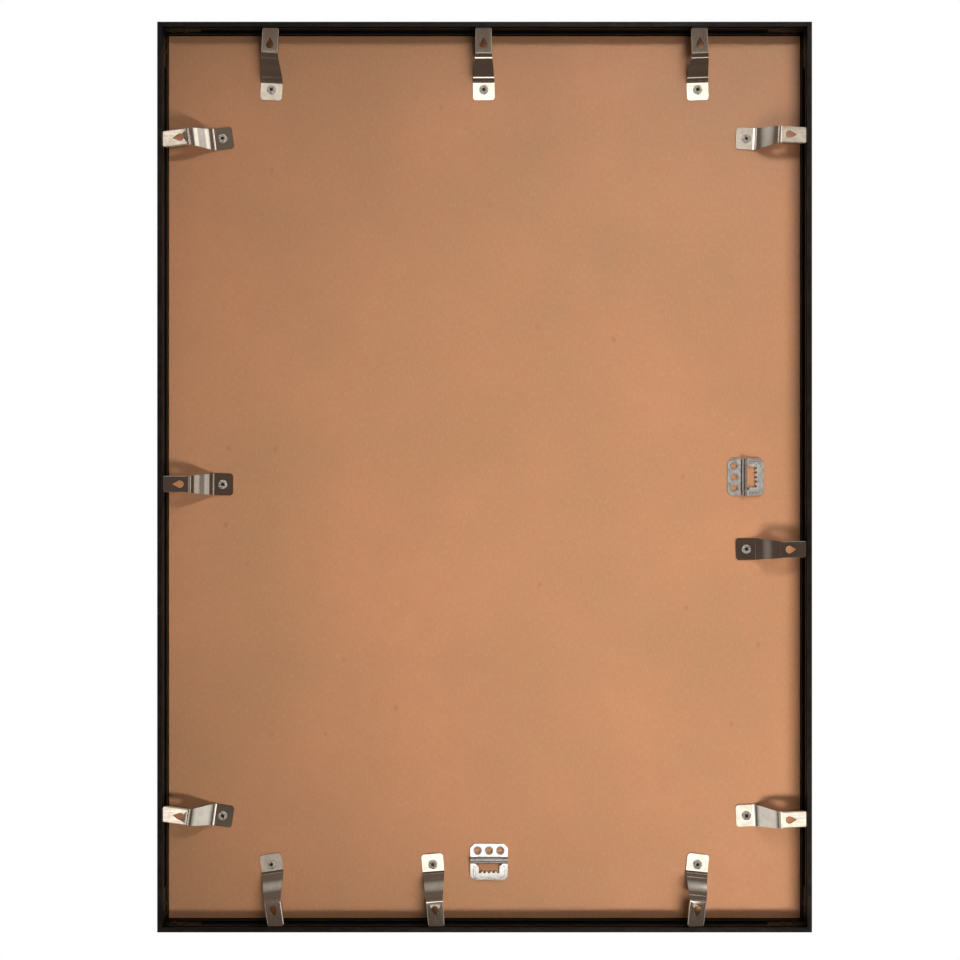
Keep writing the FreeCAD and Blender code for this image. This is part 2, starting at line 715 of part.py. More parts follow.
def make_sheet_piece(label, width, height, low, thickness):
    """A flat rectangular piece, centred in the frame."""
    piece = document.addObject("Part::Box", label)
    piece.Label = label
    bind(piece, Length=width, Width=thickness, Height=height)
    place(piece, f"-{width} / 2", low, f"{MIDDLE} - {height} / 2")
    return piece


def make_board():
    """The back board, drilled and sunk for the rivets and grooved for the hangers' collars."""
    body = new_body("back_board")
    outline = new_sketch(body, "XZ", "board_outline")
    half = f"{PACK_WIDTH} / 2"
    low = f"{MIDDLE} - {PACK_HEIGHT} / 2"
    high = f"{MIDDLE} + {PACK_HEIGHT} / 2"
    draw_outline(outline, rectangle(f"-{half}", half, low, high))
    pad(body, outline, "board_sheet", "board_thickness")
    holes = new_sketch(body, "XZ", "board_rivet_holes")
    seats = new_sketch(body, "XZ", "board_rivet_seats", offset="board_thickness")
    for name, side, step in CLIPS:
        x, z = clip_place(name, side, step)
        draw_circle(holes, x, z, "rivet_radius")
        draw_circle(seats, x, z, "rivet_flange_radius")
    pocket(body, holes, "board_drilling", depth="board_thickness", other_way=True)
    pocket(body, seats, "board_sinking", depth="rivet_flange_thickness")
    grooves = new_sketch(body, "XZ", "board_collar_grooves")
    for x, z, turn in hanger_frames().values():
        for eye in EYES:
            upright = turn == "0"
            eye_x = f"{x} + {eye} * eye_pitch" if upright else f"{x} - eye_row"
            eye_z = f"{z} - eye_row" if upright else f"{z} + {eye} * eye_pitch"
            draw_circle(grooves, eye_x, eye_z, "eye_radius")
            draw_circle(grooves, eye_x, eye_z, "eye_radius + eye_wall")
    pocket(body, grooves, "board_grooving", depth="eye_depth", other_way=True)
    return body


def make_nodes():
    """Every separate piece under its own name, ready to write."""
    nodes = {"back_board": make_board()}
    nodes["picture_sheet"] = make_sheet_piece(
        "picture_sheet", "picture_width", "picture_height", SHEET_FRONT, "sheet_thickness"
    )
    nodes["glazing"] = make_sheet_piece(
        "glazing", PACK_WIDTH, PACK_HEIGHT, PANE_FRONT, "pane_thickness"
    )
    level_rail = make_rail("level_rail_pattern", OUTER_WIDTH)
    upright_rail = make_rail("upright_rail_pattern", OUTER_HEIGHT)
    half = f"{OUTER_WIDTH} / 2"
    edges = {
        "top": (level_rail, "0", TOP),
        "bottom": (level_rail, "0", BOTTOM),
        "left": (upright_rail, f"-{half}", MIDDLE),
        "right": (upright_rail, half, MIDDLE),
    }
    for side, (master, x, z) in edges.items():
        turn = str(SIDE_TURN[side])
        nodes[f"rail_{side}"] = copy_of(master, f"rail_{side}", x, "0", z, turn)
    angle = make_corner_angle()
    screws = make_corner_screws()
    for corner, turn in CORNER_TURN.items():
        x = half if corner.endswith("right") else f"-{half}"
        z = TOP if corner.startswith("top") else BOTTOM
        for prefix, master in (("corner_angle", angle), ("corner_screws", screws)):
            label = f"{prefix}_{corner}"
            nodes[label] = copy_of(master, label, x, "0", z, str(turn))
    clip = make_clip()
    rivet = make_rivet()
    rivets = []
    for name, side, step in CLIPS:
        x, z = clip_place(name, side, step)
        turn = f"{SIDE_TURN[side]} + {name}_turn"
        nodes[f"clip_{name}"] = copy_of(clip, f"clip_{name}", x, "0", z, turn)
        rivets.append(copy_of(rivet, f"rivet_{name}", x, "0", z))
    nodes["clip_rivets"] = group_of("clip_rivets", rivets)
    plate = make_hanger_plate()
    loop = make_hanger_loop()
    for name, (x, z, turn) in hanger_frames().items():
        nodes[f"{name}_plate"] = copy_of(plate, f"{name}_plate", x, "0", z, turn)
        nodes[f"{name}_loop"] = copy_of(loop, f"{name}_loop", x, "0", z, turn)
    return nodes


def check(nodes):
    """Stops before anything is written if an object failed or a piece isn't a sound solid."""
    for item in document.Objects:
        if "Invalid" in item.State or "Error" in item.State:
            raise ValueError(f"{item.Label} failed: {item.State}")
    for label, item in nodes.items():
        if item.Label != label:
            raise ValueError(f"{label} carries the label {item.Label}")
        if item.Shape.isNull() or not item.Shape.isValid() or not item.Shape.Solids:
            raise ValueError(f"{label} is not a sound solid")


pieces = make_nodes()
document.recompute()
check(pieces)
os.makedirs("parts", exist_ok=True)
for label, piece in pieces.items():
    piece.Shape.exportStep(f"parts/{label}.step")
    print(label, len(piece.Shape.Solids), "solids", round(piece.Shape.Volume, 1), "mm3")
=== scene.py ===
# %% [markdown]
# # The back of a picture frame
#
# The real object is a slim black metal frame for a 50 by 70 cm picture. Its back is a sheet of
# brown hardboard, held by twelve spring clips that swivel on rivets, with two small hinged
# hangers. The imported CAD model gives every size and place. This lesson dresses it: softened
# edges, rolled rivet heads, and a finish for each metal, the board, the pane and the paper.

# %% Load the fixed model
import bmesh
import bpy
import json
import math
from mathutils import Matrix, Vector


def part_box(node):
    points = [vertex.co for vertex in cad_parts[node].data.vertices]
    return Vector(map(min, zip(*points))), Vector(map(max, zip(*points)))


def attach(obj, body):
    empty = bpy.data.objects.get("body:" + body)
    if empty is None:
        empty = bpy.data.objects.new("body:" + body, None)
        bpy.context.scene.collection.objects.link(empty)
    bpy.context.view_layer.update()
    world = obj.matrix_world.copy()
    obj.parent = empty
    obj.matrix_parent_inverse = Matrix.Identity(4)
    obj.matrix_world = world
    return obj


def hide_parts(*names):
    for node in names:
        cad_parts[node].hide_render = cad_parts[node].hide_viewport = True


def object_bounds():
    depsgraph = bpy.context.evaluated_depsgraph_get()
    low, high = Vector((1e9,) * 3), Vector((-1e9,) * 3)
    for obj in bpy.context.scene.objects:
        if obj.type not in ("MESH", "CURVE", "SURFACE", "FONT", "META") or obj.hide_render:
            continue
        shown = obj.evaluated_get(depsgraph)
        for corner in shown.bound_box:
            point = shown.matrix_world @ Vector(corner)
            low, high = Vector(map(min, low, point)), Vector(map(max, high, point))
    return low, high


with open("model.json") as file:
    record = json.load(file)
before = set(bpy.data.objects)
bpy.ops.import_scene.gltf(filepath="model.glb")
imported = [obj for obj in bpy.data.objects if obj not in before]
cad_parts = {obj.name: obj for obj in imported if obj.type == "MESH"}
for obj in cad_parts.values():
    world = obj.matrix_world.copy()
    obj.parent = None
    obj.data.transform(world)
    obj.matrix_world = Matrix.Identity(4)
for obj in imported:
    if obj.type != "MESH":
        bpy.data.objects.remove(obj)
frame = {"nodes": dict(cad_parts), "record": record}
cad_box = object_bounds()
MM = 0.001
behaviour = frame["record"]["behaviour"]
body_of = {node: body for body, members in behaviour["bodies"].items() for node in members}
print("CAD box in metres:", cad_box)

# %% [markdown]
# ## A short way to write shader nodes
#
# A finish is a small net of nodes. Clicking them together is slow and can't be repeated, so a
# helper adds one node and fills its inputs: a plain value is set, and a socket is linked.

# %% Helpers for finishes
def add(tree, kind, inputs=None, **settings):
    """A new node with its settings made and its inputs filled."""
    made = tree.nodes.new(kind)
    for name, value in settings.items():
        setattr(made, name, value)
    for name, value in (inputs or {}).items():
        if isinstance(value, bpy.types.NodeSocket):
            tree.links.new(value, made.inputs[name])
        else:
            made.inputs[name].default_value = value
    return made


def new_finish(name, **surface):
    """A material whose Principled shader has the given plain values."""
    material = bpy.data.materials.new(name)
    material.use_nodes = True
    shader = material.node_tree.nodes["Principled BSDF"]
    for socket, value in surface.items():
        shader.inputs[socket.replace("_", " ")].default_value = value
    return material, material.node_tree, shader


def vector_math(tree, operation, inputs):
    return add(tree, "ShaderNodeVectorMath", inputs, operation=operation).outputs


def piece_point(tree, scale=(1, 1, 1), centre=(0, 0, 0), turn=0.0):
    """The point on the piece, from a centre, turned about Y and stretched, in metres."""
    here = add(tree, "ShaderNodeTexCoord").outputs["Object"]
    placing = {"Vector": here, "Location": centre, "Rotation": (0, turn, 0)}
    moved = add(tree, "ShaderNodeMapping", placing, vector_type="TEXTURE").outputs[0]
    return vector_math(tree, "MULTIPLY", {0: moved, 1: scale})[0]


def noise(tree, point, scale, detail, roughness=0.55):
    made = add(tree, "ShaderNodeTexNoise",
               {"Vector": point, "Scale": scale, "Detail": detail, "Roughness": roughness})
    return made.outputs["Fac"]


def spread(tree, value, low, high, new_low=0.0, new_high=1.0):
    """Stretches the part of a value between low and high over a new range."""
    made = add(tree, "ShaderNodeMapRange", {"Value": value, "From Min": low, "From Max": high,
                                            "To Min": new_low, "To Max": new_high})
    return made.outputs["Result"]


def blend_colours(tree, share, first, second):
    made = add(tree, "ShaderNodeMix", {0: share, 6: first, 7: second}, data_type="RGBA")
    return made.outputs[2]


def calculate(tree, operation, first, second=0.0):
    return add(tree, "ShaderNodeMath", {0: first, 1: second}, operation=operation).outputs[0]


def bumps(tree, shader, height, depth):
    """Gives the shader small hills of the given height in metres."""
    made = add(tree, "ShaderNodeBump", {"Height": height, "Strength": 1.0, "Distance": depth})
    tree.links.new(made.outputs[0], shader.inputs["Normal"])


def feed(tree, value, shader, socket):
    tree.links.new(value, shader.inputs[socket])


# %% [markdown]
# ## The black profile
#
# The rails are extruded aluminium with a satin black coat. Extruding leaves very fine lines along
# each rail. The rear edge, which rubs on the wall, is worn a little lighter, and is also painted
# lighter as a highlight on the rear face. Noise stretched along the rail gives the lines. The level
# and the upright rails run in different directions, so each pair gets its own stretch.

# %% Finish of the black profile
REAR_RIM = (13.55 * MM, 13.98 * MM)  # where the worn, painted-highlight rear edge starts and ends, over the board


def profile_finish(name, lines):
    """Lines is how finely the drawn lines run in X, Y and Z."""
    coat, light_coat = (0.0055, 0.005, 0.0045, 1), (0.009, 0.008, 0.007, 1)
    dust_grey, rubbed_and_highlit_coat = (0.05, 0.045, 0.04, 1), (0.016, 0.0135, 0.011, 1)
    material, tree, shader = new_finish(name, Metallic=0.0, IOR=1.4, Specular_IOR_Level=0.35)
    fine = noise(tree, piece_point(tree, lines), 1.0, 4.0, 0.6)
    cloud = noise(tree, piece_point(tree), 38.0, 4.0)
    dust = noise(tree, piece_point(tree), 620.0, 2.0)
    deep = add(tree, "ShaderNodeSeparateXYZ", {0: piece_point(tree)}).outputs["Y"]
    # Lighter coat on the rear face: rubbed wear, and a painted highlight where that face meets the
    # light.
    rim = spread(tree, deep, *REAR_RIM)
    rub_and_highlight_patches = spread(tree, noise(tree, piece_point(tree), 95.0, 5.0), 0.42, 0.68)
    wear_and_highlight = calculate(tree, "MULTIPLY", rim, rub_and_highlight_patches)
    shade = blend_colours(tree, spread(tree, cloud, 0.35, 0.7), coat, light_coat)
    shade = blend_colours(tree, spread(tree, dust, 0.7, 0.82, 0.0, 0.3), shade, dust_grey)
    shade = blend_colours(tree, wear_and_highlight, shade, rubbed_and_highlit_coat)
    feed(tree, shade, shader, "Base Color")
    feed(tree, spread(tree, fine, 0.3, 0.7, 0.28, 0.4), shader, "Roughness")
    bumps(tree, shader, fine, 0.012 * MM)
    return material


level_black = profile_finish("black_profile_level", (5, 900, 900))
upright_black = profile_finish("black_profile_upright", (900, 900, 5))
print("finishes:", level_black.name, upright_black.name)

# %% [markdown]
# ## Hardboard
#
# Hardboard is pressed wood fibre. Its smooth face is an even tan, clouded over a hand's width,
# mottled over a thumb's width, with fine fibres and scattered dark flecks of bark. One noise can't
# do that, so each size of pattern gets its own noise, and Voronoi cells place the flecks at random.

# %% Finish of the hardboard
def hardboard_finish():
    tan, warm_tan = (0.475, 0.25, 0.128, 1), (0.575, 0.275, 0.143, 1)
    mottled, bark = (0.55, 0.25, 0.132, 1), (0.23, 0.105, 0.05, 1)
    dark_fibre, light_fibre = (0.40, 0.19, 0.09, 1), (0.70, 0.40, 0.24, 1)
    aside = (3.7, 1.3, 5.1)  # any shift would do: it picks a stretch of the endless fleck pattern
    material, tree, shader = new_finish("pressed_hardboard", Metallic=0.0, IOR=1.45)
    clouds = noise(tree, piece_point(tree), 7.0, 3.0)
    mottle = noise(tree, piece_point(tree), 60.0, 4.0)
    grain = noise(tree, piece_point(tree, (0.35, 1, 1)), 850.0, 3.0)
    cross_grain = noise(tree, piece_point(tree, (1, 1, 0.35)), 700.0, 3.0)
    shade = blend_colours(tree, spread(tree, clouds, 0.35, 0.65), tan, warm_tan)
    shade = blend_colours(tree, spread(tree, mottle, 0.42, 0.75, 0.0, 0.55), shade, mottled)
    shade = blend_colours(tree, spread(tree, grain, 0.5, 0.75, 0.0, 0.28), shade, dark_fibre)
    shade = blend_colours(tree, spread(tree, cross_grain, 0.5, 0.78, 0.0, 0.3), shade, light_fibre)
    for size, amount, keep in ((52.0, 0.34, 0.7), (170.0, 0.3, 0.62)):  # large flecks, then small
        scattered = piece_point(tree, (1, 1, 0.7), aside)
        cells = add(tree, "ShaderNodeTexVoronoi", {"Vector": scattered, "Scale": size})
        near = spread(tree, cells.outputs["Distance"], 0.12, 0.03)
        chance = add(tree, "ShaderNodeSeparateColor", {0: cells.outputs["Color"]}).outputs[0]
        kept = spread(tree, chance, keep, keep + 0.12, 0.0, amount)
        fleck = calculate(tree, "MULTIPLY", near, kept)
        shade = blend_colours(tree, fleck, shade, bark)
    feed(tree, shade, shader, "Base Color")
    feed(tree, spread(tree, mottle, 0.3, 0.7, 0.5, 0.66), shader, "Roughness")
    bumps(tree, shader, calculate(tree, "ADD", grain, cross_grain), 0.02 * MM)
    return material


hardboard = hardboard_finish()
print("finish:", hardboard.name)

# %% [markdown]
# ## Bright metals
#
# Spring steel comes from a roll, so it has faint lines along the strip and a soft sheen. The
# hangers are zinc plated, which shines a little softer. The clips point four ways, so each one's
# pattern is centred on its rivet and turned to its side, as a Mapping node can do.

# %% Finish of the bright metals
DULLED = 0.72  # how bright a tarnished spot is beside clean metal
ROLLED_DEPTH = 0.0018 * MM


def bright_metal(name, colour, lines, rough, tarnish=0.25, centre=(0, 0, 0), turn=0.0):
    """Lines is how finely the rolling marks run in X, Y and Z, and rough the roughness's range."""
    material, tree, shader = new_finish(name, Metallic=1.0)
    rolled = noise(tree, piece_point(tree, lines, centre, turn), 1.0, 4.0, 0.6)
    cloud = noise(tree, piece_point(tree), 160.0, 5.0)
    scratch = noise(tree, piece_point(tree, (2.2, 1, 0.12), centre, turn + 0.5), 2600.0, 2.0)
    dull = tuple(part * DULLED for part in colour[:3]) + (1,)
    shade = blend_colours(tree, spread(tree, cloud, 0.4, 0.75, 0.0, tarnish * 2), colour, dull)
    shade = blend_colours(tree, spread(tree, scratch, 0.66, 0.8, 0.0, 0.35), shade, dull)
    feed(tree, shade, shader, "Base Color")
    marks = calculate(tree, "MULTIPLY", rolled, 0.6)
    mixed = calculate(tree, "ADD", marks, calculate(tree, "MULTIPLY", cloud, 0.4))
    feed(tree, spread(tree, mixed, 0.35, 0.65, *rough), shader, "Roughness")
    bumps(tree, shader, rolled, ROLLED_DEPTH)
    return material


zinc = bright_metal("zinc_plate", (0.80, 0.80, 0.77, 1), (300, 300, 300), (0.09, 0.18))
nickel = bright_metal("nickel_rivet", (0.86, 0.83, 0.77, 1), (500, 500, 500), (0.24, 0.36), 0.2)
# The corner angles are darker than plated zinc: their darkness is painted shade of the channel they
# sit in, and the green tinge is the plating's.
angle_steel = bright_metal("zinc_angle_painted_shade", (0.14, 0.148, 0.12, 1), (200, 200, 200), (0.35, 0.5))
screw_steel = bright_metal("black_oxide_screw", (0.16, 0.155, 0.15, 1), (300, 300, 300), (0.3, 0.45))
# The rim zinc is a brighter copy of the hanger zinc: a painted highlight on the rolled eye rims.
highlit_rim_zinc = bright_metal("rolled_zinc_rim_painted_highlight", (0.92, 0.92, 0.88, 1), (300, 300, 300), (0.28, 0.4), 0.1)
print("finishes:", zinc.name, highlit_rim_zinc.name, nickel.name, angle_steel.name, screw_steel.name)

# %% [markdown]
# ## Paper and pane
#
# The picture is a blank sheet of warm white paper, and the pane is clear glass over it. They show
# from the front only. Paper is rough with a faint fibre. Glass bends what is seen through it, and
# the renderer lets no lamp light through it, so for that light alone the pane is plainly open.

# %% Finish of the paper and the pane
def paper_finish():
    cream, light_cream = (0.87, 0.855, 0.81, 1), (0.90, 0.885, 0.845, 1)
    fibre_grey = (0.70, 0.68, 0.62, 1)
    material, tree, shader = new_finish("blank_paper", Metallic=0.0, Roughness=0.8)
    fibre = noise(tree, piece_point(tree, (1, 1, 0.4)), 900.0, 5.0)
    cloud = noise(tree, piece_point(tree), 30.0, 3.0)
    shade = blend_colours(tree, spread(tree, cloud, 0.3, 0.7), cream, light_cream)
    shade = blend_colours(tree, spread(tree, fibre, 0.5, 0.8, 0.0, 0.12), shade, fibre_grey)
    feed(tree, shade, shader, "Base Color")
    bumps(tree, shader, fibre, 0.01 * MM)
    return material


def pane_finish():
    material, tree, shader = new_finish("clear_pane", Metallic=0.0, Transmission_Weight=1.0,
                                        Base_Color=(0.985, 0.985, 0.975, 1), IOR=1.5)
    smear = noise(tree, piece_point(tree), 24.0, 4.0)
    feed(tree, spread(tree, smear, 0.5, 0.8, 0.0, 0.03), shader, "Roughness")
    path = add(tree, "ShaderNodeLightPath").outputs
    lit = calculate(tree, "MAXIMUM", path["Is Shadow Ray"], path["Is Diffuse Ray"])
    open_pane = add(tree, "ShaderNodeBsdfTransparent", {"Color": (0.97, 0.965, 0.955, 1)})
    either = {0: lit, 1: shader.outputs[0], 2: open_pane.outputs[0]}
    mixed = add(tree, "ShaderNodeMixShader", either).outputs[0]
    tree.links.new(mixed, tree.nodes["Material Output"].inputs["Surface"])
    return material


paper = paper_finish()
pane = pane_finish()
print("finishes:", paper.name, pane.name)

# %% [markdown]
# ## Softened edges
#
# No real edge is perfectly sharp: a stamped or sawn edge has a tiny round that catches the light
# as a thin bright line. The CAD solids are sharp, so the pane and every metal piece but the small
# screws get a copy whose triangles are merged back into flat faces, and a Bevel modifier rounds
# what is left. The copy takes the node's place.

# %% Copies with soft edges
EDGE_ANGLE = math.radians(35)  # a sharper turn than this is an edge
SAME_FACE = math.radians(0.6)  # triangles that turn less are one face
SAME_POINT = 0.001 * MM
RAIL_EDGE, ANGLE_EDGE, PLATE_EDGE, LOOP_EDGE = 0.12 * MM, 0.1 * MM, 0.2 * MM, 0.26 * MM


def bake(piece):
    """Turns what the modifiers make into the piece's own plain mesh."""
    bpy.context.view_layer.update()
    depsgraph = bpy.context.evaluated_depsgraph_get()
    made = bpy.data.meshes.new_from_object(piece.evaluated_get(depsgraph))
    piece.modifiers.clear()
    piece.data = made


def softened(node, width, finish, shape=None):
    """A copy of a CAD node with small round edges, riding and named as the node is."""
    source = frame["nodes"][node]
    mesh = bpy.data.meshes.new(f"{node}_soft")
    work = bmesh.new()
    work.from_mesh(source.data)
    bmesh.ops.remove_doubles(work, verts=work.verts, dist=SAME_POINT)
    bmesh.ops.dissolve_limit(work, angle_limit=SAME_FACE, verts=work.verts, edges=work.edges)
    if shape:
        shape(work)
    work.to_mesh(mesh)
    work.free()
    piece = bpy.data.objects.new(f"{node}_soft", mesh)
    bpy.context.collection.objects.link(piece)
    bevel = piece.modifiers.new("edge_round", "BEVEL")
    bevel.width = width
    bevel.segments = 2
    bevel.limit_method = "ANGLE"
    bevel.angle_limit = EDGE_ANGLE
    bake(piece)
    for face in piece.data.polygons:
        face.use_smooth = True
    piece.data.set_sharp_from_angle(angle=EDGE_ANGLE)
    flatten = piece.modifiers.new("flat_faces", "WEIGHTED_NORMAL")
    flatten.keep_sharp = True
    flatten.weight = 100
    bake(piece)
    piece.data.materials.clear()
    piece.data.materials.append(finish)
    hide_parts(node)
    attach(piece, body_of[node])
    return piece


def dress(node, finish):
    """A finish for a CAD node that keeps its own shape."""
    mesh = frame["nodes"][node].data
    mesh.materials.clear()
    mesh.materials.append(finish)


for finish, sides in ((level_black, ("top", "bottom")), (upright_black, ("left", "right"))):
    for side in sides:
        softened(f"rail_{side}", RAIL_EDGE, finish)
for corner in ("top_left", "top_right", "bottom_left", "bottom_right"):
    softened(f"corner_angle_{corner}", ANGLE_EDGE, angle_steel)
    dress(f"corner_screws_{corner}", screw_steel)
for hanger in ("portrait_hanger", "landscape_hanger"):
    softened(f"{hanger}_plate", PLATE_EDGE, zinc)
    softened(f"{hanger}_loop", LOOP_EDGE, zinc)
print("softened rails, corner angles and hangers")

# %% [markdown]
# ## Spring clips
#
# A clip is a strip of spring steel. It lies flat under its rivet, climbs, and lies flat again
# under the frame's rear lip. The CAD ramp is straight, but bent spring steel runs in a soft S,
# which is why its shine slides from bright to dark. Each ramp is cut across in thin strips, and
# the strips are lifted or lowered on to the S.

# %% A ramp with an S bend
LEAST_RISE, MOST_RISE = 0.79, 0.83  # the Y part of a ramp face's normal lies between these
LARGE_FACE = 20 * MM * MM
EARLY, LATE = 2.2 * MM, 1.8 * MM  # how far the S starts before the ramp and ends after it
STRIP = 0.9 * MM
CLIP_AIR = 0.01 * MM  # a hair of air between clip and board


def s_bend(rivet, source):
    """Returns the step that bends one clip's ramp, which is found by its large slanted faces."""
    slanted = [face for face in source.polygons
               if LEAST_RISE < face.normal.y < MOST_RISE and face.area > LARGE_FACE]
    lean = sum((face.normal * face.area for face in slanted), Vector())
    way = Vector((-lean.x, 0, -lean.z)).normalized()
    along = [(source.vertices[index].co - rivet).dot(way)
             for face in slanted for index in face.vertices]
    start, end = min(along), max(along)
    rise = (end - start) * math.hypot(lean.x, lean.z) / lean.y
    first, last = start - EARLY, end + LATE

    def shape(work):
        cut = first
        while cut < last:
            everything = work.verts[:] + work.edges[:] + work.faces[:]
            bmesh.ops.bisect_plane(work, geom=everything, plane_co=rivet + way * cut, plane_no=way)
            cut += STRIP
        for vertex in work.verts:
            place = (vertex.co - rivet).dot(way)
            straight = min(max((place - start) / (end - start), 0), 1)
            share = min(max((place - first) / (last - first), 0), 1)
            vertex.co.y += rise * (share * share * (3 - 2 * share) - straight)
            vertex.co.y = max(vertex.co.y, CLIP_AIR)
    return shape


# %% Clips, each with its own turned finish
rivet_places = {joint["child"]: joint["pos_m"] for joint in behaviour["joints"]
                if joint["child"].startswith("clip_")}
side_turns = {"top": 0.0, "bottom": math.pi, "left": -math.pi / 2, "right": math.pi / 2}
STEEL_COLOUR, STEEL_LINES, STEEL_ROUGHNESS = (0.69, 0.625, 0.53, 1), (1400, 300, 40), (0.06, 0.11)
CLIP_EDGE = 0.1 * MM
for body, place in rivet_places.items():
    rivet = Vector(place)
    clip = body.removeprefix("clip_")
    turn = side_turns[clip.split("_")[0]]
    steel = bright_metal(f"spring_steel_{clip}", STEEL_COLOUR, STEEL_LINES, STEEL_ROUGHNESS,
                         centre=rivet, turn=turn)
    softened(body, CLIP_EDGE, steel, shape=s_bend(rivet, frame["nodes"][body].data))
print("softened", len(rivet_places), "clips")

# %% Board, paper and pane
PANE_EDGE = 0.25 * MM
PANE_MIDDLE, PANE_AIR = -4.3 * MM, 0.05 * MM  # a film of air keeps the glass and the paper apart
dress("back_board", hardboard)
dress("picture_sheet", paper)
glass = softened("glazing", PANE_EDGE, pane)
for vertex in glass.data.vertices:
    if vertex.co.y > PANE_MIDDLE:
        vertex.co.y -= PANE_AIR
print("dressed board, paper and pane")

# %% [markdown]
# ## Rolled eye rims
#
# The three eyes of each hanger are pressed through from the back, which rolls up a small round rim
# that catches the light. Six equal rings on two rows are a job for Geometry Nodes: a circle swept
# along a circle makes one ring, and it is placed at each point of a small mesh.

# %% The tree for the eye rims
def named_input(tree, name, kind, amount):
    socket = tree.interface.new_socket(name, in_out="INPUT", socket_type=kind)
    socket.default_value = amount


def place_on_points(tree, given, copy, rotation):
    """Ends a tree: a real, finished copy at each point of the mesh that comes in."""
    points = add(tree, "GeometryNodeMeshToPoints", {"Mesh": given["Geometry"]}).outputs[0]
    placed = add(tree, "GeometryNodeInstanceOnPoints",
                 {"Points": points, "Instance": copy, "Rotation": rotation}).outputs[0]
    real = add(tree, "GeometryNodeRealizeInstances", {"Geometry": placed}).outputs[0]
    coated = add(tree, "GeometryNodeSetMaterial", {"Geometry": real, "Material": given["Finish"]})
    add(tree, "NodeGroupOutput", {"Geometry": coated.outputs[0]})


def grown(name, points, tree):
    """A plain piece that a Geometry Nodes tree makes from points."""
    mesh = bpy.data.meshes.new(name)
    mesh.from_pydata(points, [], [])
    piece = bpy.data.objects.new(name, mesh)
    bpy.context.collection.objects.link(piece)
    piece.modifiers.new(name, "NODES").node_group = tree
    bake(piece)
    return piece


def rim_tree():
    tree = bpy.data.node_groups.new("eye_rims", "GeometryNodeTree")
    tree.interface.new_socket("Geometry", in_out="INPUT", socket_type="NodeSocketGeometry")
    named_input(tree, "Ring radius", "NodeSocketFloat", 2.98 * MM)
    named_input(tree, "Wire radius", "NodeSocketFloat", 0.55 * MM)
    named_input(tree, "Finish", "NodeSocketMaterial", highlit_rim_zinc)
    tree.interface.new_socket("Geometry", in_out="OUTPUT", socket_type="NodeSocketGeometry")
    given = add(tree, "NodeGroupInput").outputs
    circle = "GeometryNodeCurvePrimitiveCircle"
    ring = add(tree, circle, {"Resolution": 48, "Radius": given["Ring radius"]}).outputs[0]
    wire = add(tree, circle, {"Resolution": 16, "Radius": given["Wire radius"]}).outputs[0]
    rim = add(tree, "GeometryNodeCurveToMesh", {"Curve": ring, "Profile Curve": wire}).outputs[0]
    upright = add(tree, "FunctionNodeEulerToRotation", {0: (math.pi / 2, 0, 0)}).outputs[0]
    place_on_points(tree, given, rim, upright)
    return tree


# %% Six rims on the two hangers
EYE_PITCH, EYE_EDGE, STEEL = 9.0 * MM, 5.4 * MM, 0.8 * MM
upright_low, upright_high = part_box("portrait_hanger_plate")
level_low, level_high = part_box("landscape_hanger_plate")
row = (-EYE_PITCH, 0, EYE_PITCH)
eyes = [((upright_low[0] + upright_high[0]) / 2 + step, STEEL, upright_low[2] + EYE_EDGE)
        for step in row]
eyes += [(level_low[0] + EYE_EDGE, STEEL, (level_low[2] + level_high[2]) / 2 + step)
         for step in row]
rims = grown("eye_rims", eyes, rim_tree())
for face in rims.data.polygons:
    face.use_smooth = True
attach(rims, body_of["portrait_hanger_plate"])
print("eye rims:", len(rims.data.polygons), "faces")

# %% [markdown]
# ## Rolled rivet heads
#
# Each clip turns on a tubular rivet. The tool that rolls its end over splits it into petals, so
# the head looks like a small flower round a dark hole. There are twelve, so Geometry Nodes place
# them: the petals are waves round the axis, and each rivet is turned by a seeded random angle.

# %% One plain rivet by spinning its outline
STEPS_ROUND = 72
SEAM = 0.0005 * MM  # the first and the last ring lie in each other and become one


def spun(name, outline):
    """A closed solid about the Y axis from an outline of (radius, height) points in millimetres."""
    work = bmesh.new()
    ring = [work.verts.new((radius * MM, height * MM, 0)) for radius, height in outline]
    edges = [work.edges.new((ring[i], ring[(i + 1) % len(ring)])) for i in range(len(ring))]
    bmesh.ops.spin(work, geom=ring + edges, cent=(0, 0, 0), axis=(0, 1, 0), angle=math.tau,
                   steps=STEPS_ROUND)
    bmesh.ops.remove_doubles(work, verts=work.verts, dist=SEAM)
    bmesh.ops.recalc_face_normals(work, faces=work.faces)
    mesh = bpy.data.meshes.new(name)
    work.to_mesh(mesh)
    work.free()
    for face in mesh.polygons:
        face.use_smooth = True
    return mesh


roll = [(1.25, 0.9), (1.3, 1.5), (1.5, 1.95), (1.9, 2.2), (2.4, 2.28), (2.9, 2.15),
        (3.35, 1.8), (3.62, 1.35), (3.62, 1.0), (3.3, 0.86), (2.0, 0.86)]
shank = [(2.0, -2.4), (4.2, -2.4), (4.2, -3.0), (1.25, -3.0)]
rivet_mesh = spun("rivet_master", roll + shank)
rivet_master = bpy.data.objects.new("rivet_master", rivet_mesh)
print("one rivet has", len(rivet_mesh.polygons), "faces")

# %% The tree that rolls petals and places the rivets
HEAD_TOP = (1.15 * MM, 2.1 * MM)  # the petals' depth grows between these heights
HEAD_SIDE = (0.9 * MM, 1.3 * MM)  # and their width between these
OUTER_RING = (2.2 * MM, 3.4 * MM)  # and between these radii
NARROW_CLEFT = 5.0


